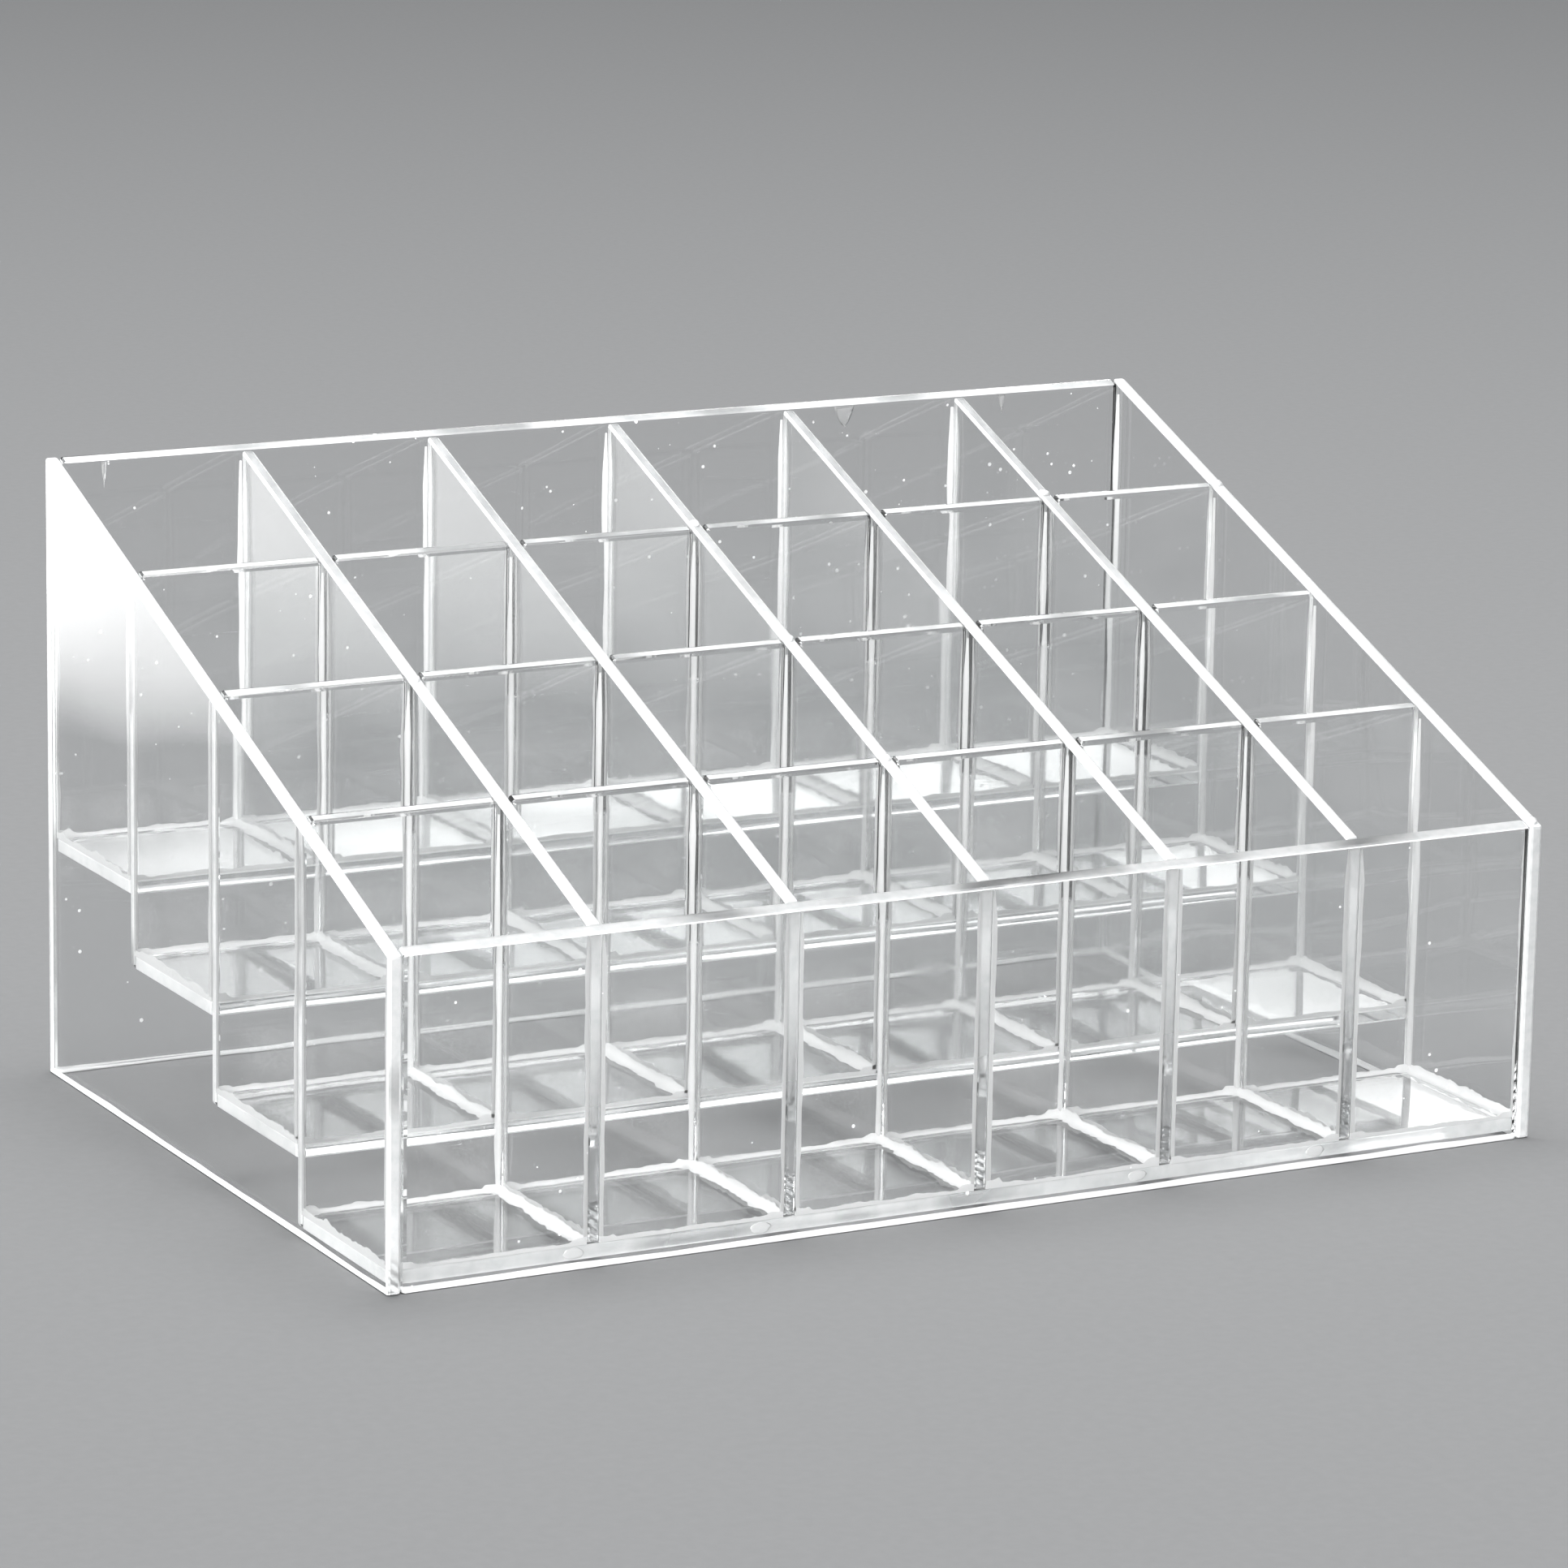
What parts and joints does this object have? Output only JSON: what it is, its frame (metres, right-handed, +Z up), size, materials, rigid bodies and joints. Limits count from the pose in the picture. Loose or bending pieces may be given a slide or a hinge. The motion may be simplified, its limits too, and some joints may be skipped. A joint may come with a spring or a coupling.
{
  "type": "vanity organizer",
  "caption": "Clear plastic organizer whose open-topped cells rise in steps from a low front to a tall back, for standing lipsticks and small cosmetics upright.",
  "frame": {"origin": "centre of the footprint, on the surface that the organizer stands on", "axes": "+X to the right seen from the front, +Y from the low front to the tall back, +Z up"},
  "size_m": [0.1446, 0.0958, 0.0735],
  "materials": {
    "clear_acrylic": "clear colourless sheet, polished faces, bright edges"
  },
  "bodies": {
    "root": {"left_side_panel": "clear_acrylic", "right_side_panel": "clear_acrylic", "front_panel": "clear_acrylic", "back_panel": "clear_acrylic", "row_floor_1": "clear_acrylic", "row_floor_2": "clear_acrylic", "row_floor_3": "clear_acrylic", "row_floor_4": "clear_acrylic", "row_wall_1": "clear_acrylic", "row_wall_2": "clear_acrylic", "row_wall_3": "clear_acrylic", "column_divider_1": "clear_acrylic", "column_divider_2": "clear_acrylic", "column_divider_3": "clear_acrylic", "column_divider_4": "clear_acrylic", "column_divider_5": "clear_acrylic"}
  },
  "joints": []
}
